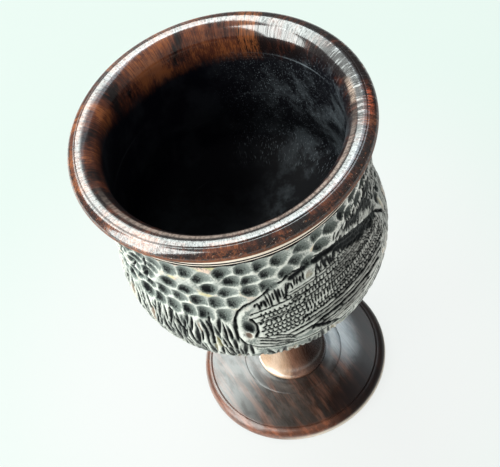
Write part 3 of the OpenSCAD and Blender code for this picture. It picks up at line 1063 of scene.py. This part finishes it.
def foot_wood(finish):
    """The foot: dark brown with straight lighter streaks across it and a redder rim; painted shade at the
    right, a painted sheen beside the stem and a painted reflection on the rim's lowest edge.
    """
    paint = Paint("turned_foot_wood", {
        "Coat Roughness": 0.3, "Coat IOR": 1.85, "IOR": 1.35, "Anisotropic": 0.5,
        "Anisotropic Rotation": 0.25}, finish.foot_grain)
    radius, east, north = paint.radius, paint.east, paint.north
    streak = paint.grain((0.03, 0.42, 0.42), 4, 0.6)
    fine = paint.grain((0.15, 2.4, 2.4), 3, 0.6)
    light = (streak * 0.7 + fine * 0.3).rise(0.45, 0.66)
    paint.colour = paint.mix(light, finish.foot_dark, finish.foot_light)
    # the rim is redder at the left only; its right is left dark as painted shade
    rim = radius.rise(28.5, 30.8) * east.fall(0.0, 0.7)
    paint.layer(rim * (0.35 + 0.65 * light), finish.foot_rim)
    # painted shade at the right of the front, where the polish is dull too
    worn = (east * 0.92 - north * 0.39).rise(0.4, 0.8) * radius.rise(18, 26)
    paint.layer(worn * 0.9, finish.stain_and_shade)
    # painted bluish sheen beside the stem, at the right
    painted_sheen = (east * 0.85 + north * 0.53).rise(0.2, 0.9) * radius.fall(19, 26)
    paint.layer(painted_sheen * (0.2 + 0.5 * fine), finish.dust_and_sheen)
    # painted reflection of the pale table on the lowest edge of the rim, at the front and the right
    low = paint.z.fall(1.6, 3.0) * radius.rise(30.6, 31.2) * (east * 0.7 - north * 0.7).rise(0.2, 0.8)
    paint.layer(low * 0.9, finish.bead)
    # the polish is thin in patches and at the front
    thin = paint.grain((0.12, 0.3, 0.3), 4, 0.7).rise(0.42, 0.62)
    coat = (1 - worn - thin * 0.35 - north.fall(-0.8, -0.2) * 0.4).math("MAXIMUM", 0)
    return paint.done(0.24 + 0.14 * fine, streak * 0.4 + fine * 0.6, 0.15, 0.08, coat)


def thin_out(piece, triangles):
    """Takes triangles out of the carved part, where it is smooth, until so many are left."""
    mesh = piece.data
    total = sum(len(face.vertices) - 2 for face in mesh.polygons)
    if total <= triangles:
        return
    held = mesh.attributes["carved"].data
    group = piece.vertex_groups.new(name="carved")
    group.add([i for i in range(len(mesh.vertices)) if held[i].value > 0.5], 1.0, "REPLACE")
    modifier = piece.modifiers.new("thin", "DECIMATE")
    modifier.ratio = triangles / total
    modifier.vertex_group = "carved"
    modifier.vertex_group_factor = 1.0
    piece.data = plain_mesh(piece, modifier)
    piece.vertex_groups.clear()
    bpy.data.meshes.remove(mesh)
    piece.data.name = piece.name


class GOBLET_OT_bowl(bpy.types.Operator):
    """Turns the bowl and carves its outside"""

    bl_idname = "goblet.bowl"
    bl_label = "Bowl"

    def execute(self, context):
        t = context.scene.goblet_turning
        finish = context.scene.goblet_finish
        points, path, outward, flags = bowl_rows(t)
        drawing = Drawing(t, points, path, flags)
        drawing.draw()
        profile = line_of("bowl_profile", [(r, 0, z) for r, z in points], {
            "path": path, "outward": outward, "carved": flags})
        marks = line_of("bowl_marks", drawing.places, {
            "turned": drawing.turned, "reach": drawing.reach, "raw": drawing.raw})
        columns = t.plain_step * round(math.tau * t.drawing_r / t.cell / t.plain_step)
        bowl = run_tree("carved_bowl", carving_tree(), {
            "Profile": profile, "Marks": marks, "Columns": columns, "Plain step": t.plain_step,
            "Drawing radius": t.drawing_r, "Polished": polished_bowl_wood(finish),
            "Carved": carved_bowl_wood(finish)})
        discard(profile, marks)
        thin_out(bowl, t.triangles)
        bowl.data.shade_smooth()
        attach(bowl, "root")
        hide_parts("bowl")
        return {"FINISHED"}


class GOBLET_OT_stem(bpy.types.Operator):
    """Makes the stem"""

    bl_idname = "goblet.stem"
    bl_label = "Stem"

    def execute(self, context):
        t = context.scene.goblet_turning
        finish = context.scene.goblet_finish
        stem = turned_piece("turned_stem", stem_profile(t), STEM_COLUMNS, stem_wood(finish))
        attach(stem, "root")
        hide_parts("stem")
        return {"FINISHED"}


class GOBLET_OT_foot(bpy.types.Operator):
    """Makes the foot"""

    bl_idname = "goblet.foot"
    bl_label = "Foot"

    def execute(self, context):
        t = context.scene.goblet_turning
        finish = context.scene.goblet_finish
        foot = turned_piece("turned_foot", foot_profile(t), FOOT_COLUMNS, foot_wood(finish))
        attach(foot, "root")
        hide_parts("foot")
        return {"FINISHED"}


def softbox(name, azimuth, elevation, distance, width, height, power, tint, mirrored):
    """A lamp that faces the goblet; azimuth counts from the camera's side to the right, in degrees."""
    data = bpy.data.lights.new(name, "AREA")
    data.shape = "RECTANGLE"
    data.size = width
    data.size_y = height
    data.energy = power
    data.color = tint
    lamp = object_of(name, data)
    lamp.visible_glossy = mirrored
    a, e = math.radians(azimuth), math.radians(elevation)
    way = Vector((math.sin(a) * math.cos(e), -math.cos(a) * math.cos(e), math.sin(e)))
    turn = way.to_track_quat("Z", "Y").to_matrix().to_4x4()
    lamp.matrix_world = Matrix.Translation(LAMP_AIM + way * distance) @ turn


def floor_finish():
    """A pale table, shown near white to the camera but with the goblet's shadow on it."""
    material = bpy.data.materials.new("pale_floor")
    material.use_nodes = True
    bench = Bench(material.node_tree)
    shader = bench.tree.nodes["Principled BSDF"].inputs
    seen = bench.node("ShaderNodeLightPath").out("Is Camera Ray")
    x, y, unused = bench.parts(bench.node("ShaderNodeTexCoord").out("Object"))
    far = ((x * x + y * y) ** 0.5).rise(0.05, 0.16)
    for label, value in (
            ("Roughness", 0.9), ("IOR", 1.2),
            ("Base Color", bench.mix(seen, (0.80, 0.80, 0.79), (0.08, 0.08, 0.08))),
            ("Emission Color", bench.mix(far, (0.79, 0.815, 0.80), (0.69, 0.81, 0.75))),
            ("Emission Strength", seen)):
        bench.feed(shader[label], value)
    return material


class GOBLET_OT_stage(bpy.types.Operator):
    """Sets the floor, the lamps and the camera"""

    bl_idname = "goblet.stage"
    bl_label = "Stage"

    def execute(self, context):
        scene = context.scene
        scene.view_settings.view_transform = "Standard"
        self.camera(scene, scene.goblet_studio)
        mesh = bpy.data.meshes.new("floor")
        corners = [(x * FLOOR_HALF, y * FLOOR_HALF, 0) for x, y in ((-1, -1), (1, -1), (1, 1), (-1, 1))]
        mesh.from_pydata(corners, [], [(0, 1, 2, 3)])
        floor = object_of("floor", mesh)
        floor.data.materials.append(floor_finish())
        for lamp in LAMPS:
            softbox(*lamp)
        world = bpy.data.worlds.new("studio")
        scene.world = world
        world.use_nodes = True
        background = world.node_tree.nodes["Background"]
        background.inputs["Color"].default_value = (0.94, 1, 0.97, 1)
        bench = Bench(world.node_tree)
        seen = bench.node("ShaderNodeLightPath").out("Is Camera Ray")
        bench.feed(background.inputs["Strength"], 0.18 + 0.82 * seen)
        return {"FINISHED"}

    def camera(self, scene, s):
        """Looks at the lip from the front and above, and then turns off it as the photo does."""
        data = bpy.data.cameras.new("view")
        data.sensor_width = SENSOR
        data.lens = s.lens / MM
        data.clip_start = NEAREST
        turn = Matrix.Rotation(math.pi / 2 - s.elevation, 4, "X")
        place = turn.to_3x3() @ Vector((0, 0, s.distance)) + Vector((0, 0, lip_line()))
        for angle, axis in ((s.yaw, "Y"), (s.pitch, "X"), (-s.roll, "Z")):
            turn = turn @ Matrix.Rotation(angle, 4, axis)
        scene.camera = object_of("view", data)
        scene.camera.matrix_world = Matrix.Translation(place) @ turn


class GOBLET_PT_panel(bpy.types.Panel):
    """Goblet"""

    bl_label = "Goblet"
    bl_space_type = "VIEW_3D"
    bl_region_type = "UI"
    bl_category = "Goblet"

    def draw(self, context):
        for operator in OPERATORS:
            self.layout.operator(operator.bl_idname)


OPERATORS = (GOBLET_OT_bowl, GOBLET_OT_stem, GOBLET_OT_foot, GOBLET_OT_stage)


def register():
    for cls in (*GROUPS.values(), *OPERATORS, GOBLET_PT_panel):
        bpy.utils.register_class(cls)
    for name, group in GROUPS.items():
        setattr(bpy.types.Scene, name, bpy.props.PointerProperty(type=group))


def unregister():
    for name in GROUPS:
        delattr(bpy.types.Scene, name)
    for cls in reversed((*GROUPS.values(), *OPERATORS, GOBLET_PT_panel)):
        bpy.utils.unregister_class(cls)


def main():
    register()
    bpy.ops.goblet.bowl()
    bpy.ops.goblet.stem()
    bpy.ops.goblet.foot()
    bpy.ops.goblet.stage()


if __name__ == "__main__":
    main()
